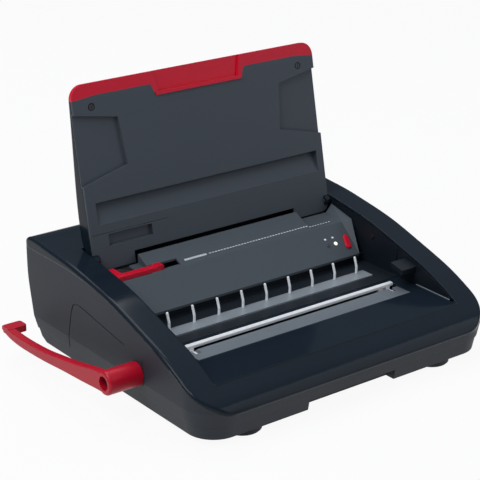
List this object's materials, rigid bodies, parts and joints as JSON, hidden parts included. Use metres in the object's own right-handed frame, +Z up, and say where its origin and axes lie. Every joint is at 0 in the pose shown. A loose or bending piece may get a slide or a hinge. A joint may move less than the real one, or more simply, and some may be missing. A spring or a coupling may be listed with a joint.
{
  "type": "wire binding machine",
  "caption": "desktop wire binding machine with an open lid, a red closing handle, a motor punch under a hood, a wire closer, upright wire pins and a chip drawer at the rear",
  "frame": {"origin": "bottom centre of the whole machine with the closing handle counted in, on the plane of its feet", "axes": "+X to the operator's right, along the longest extent; +Y to the rear; +Z up"},
  "size_m": [0.452, 0.3525, 0.3155],
  "materials": {
    "case_grey": "fine-grained matt moulding",
    "gloss_blue": "glossy moulding",
    "red": "satin moulding",
    "liner_grey": "matt moulding",
    "steel": "brushed",
    "bright": "satin",
    "plate_grey": "fine texture",
    "rubber": "matt",
    "brass": "turned",
    "nylon": "natural",
    "clear": "clear lens",
    "clear_lit": "clear lens",
    "black": "matt",
    "board": "solder mask"
  },
  "bodies": {
    "case": {"base_tray": "case_grey", "top_bezel": "gloss_blue", "work_deck": "case_grey", "punch_hood": "liner_grey", "rubber_feet": "rubber", "case_screws": "steel", "pin_strip": "bright", "wire_pins": "bright", "closer_plate": "plate_grey", "rack_guides": "nylon", "left_side_plate": "steel", "right_side_plate": "steel", "stripper_plate": "steel", "die_plate": "steel", "throat_floor": "steel", "return_springs": "steel", "cam_bushes": "brass", "idler_stud": "steel", "drive_motor": "steel", "handle_bushes": "nylon", "button_spring": "steel", "button_switch": "black", "power_lamp": "clear", "ready_lamp": "clear_lit", "lamp_board": "board", "drawer_runners": "nylon", "mains_inlet": "black", "switch_housing": "black", "control_board": "board", "board_clips": "nylon"},
    "lid": {"lid_shell": "gloss_blue", "lid_liner": "liner_grey", "lid_trim": "red", "lid_screws": "steel", "hinge_pins": "steel"},
    "handle": {"closing_handle": "red", "hub_screw": "steel", "handle_shaft": "steel", "handle_pinions": "nylon"},
    "closer": {"closer_bar": "bright"},
    "punch": {"punch_bar": "steel", "punch_pins": "steel"},
    "cam": {"camshaft": "steel", "lift_cams": "steel", "cam_gear": "steel"},
    "idler": {"idler_gear": "nylon"},
    "motor_shaft": {"motor_pinion": "brass"},
    "drawer": {"chip_drawer": "case_grey"},
    "guide": {"edge_guide": "red"},
    "button": {"punch_button": "red"},
    "rocker": {"power_rocker": "black"}
  },
  "joints": [
    {"name": "lid_hinge", "type": "hinge", "parent": "case", "child": "lid", "pos_m": [0.191, 0.07994, 0.12326], "axis": [1, 0, 0], "range_deg": [0, 114.6]},
    {"name": "handle_turn", "type": "hinge", "parent": "case", "child": "handle", "pos_m": [0.021, -0.055, 0.048], "axis": [1, 0, 0], "range_deg": [0, 100]},
    {"name": "closer_slide", "type": "slide", "parent": "case", "child": "closer", "axis": [0, -1, 0], "range_m": [0, 0.0123]},
    {"name": "camshaft_turn", "type": "hinge", "parent": "case", "child": "cam", "pos_m": [0.021, 0.035, 0.062], "axis": [1, 0, 0], "range_deg": [0, 171]},
    {"name": "punch_slide", "type": "slide", "parent": "case", "child": "punch", "axis": [0, 1, 0], "range_m": [0, 0.01], "deforming": ["return_springs"]},
    {"name": "idler_turn", "type": "hinge", "parent": "case", "child": "idler", "pos_m": [0.171, 0.035, 0.041], "axis": [1, 0, 0], "range_deg": [-427, 0]},
    {"name": "motor_turn", "type": "hinge", "parent": "case", "child": "motor_shaft", "pos_m": [0.171, 0.016, 0.03476], "axis": [1, 0, 0], "range_deg": [0, 1280]},
    {"name": "drawer_slide", "type": "slide", "parent": "case", "child": "drawer", "axis": [0, 1, 0], "range_m": [0, 0.1]},
    {"name": "guide_slide", "type": "slide", "parent": "case", "child": "guide", "axis": [1, 0, 0], "range_m": [0, 0.022]},
    {"name": "button_press", "type": "slide", "parent": "case", "child": "button", "axis": [0, 0.6738, -0.739], "range_m": [0, 0.0018], "stiffness_N_per_m": 400, "springref_m": -0.001, "deforming": ["button_spring"]},
    {"name": "rocker_tilt", "type": "hinge", "parent": "case", "child": "rocker", "pos_m": [0.141, 0.16273, 0.06204], "axis": [-1, 0, 0], "range_deg": [0, 12]}
  ],
  "couplings": [
    {"joint": "closer_slide", "follows": "handle_turn", "m_per_rad": 0.007},
    {"joint": "camshaft_turn", "follows": "punch_slide", "rad_per_m": 296.71},
    {"joint": "idler_turn", "follows": "punch_slide", "rad_per_m": -741.76},
    {"joint": "motor_turn", "follows": "punch_slide", "rad_per_m": 2225.3}
  ]
}
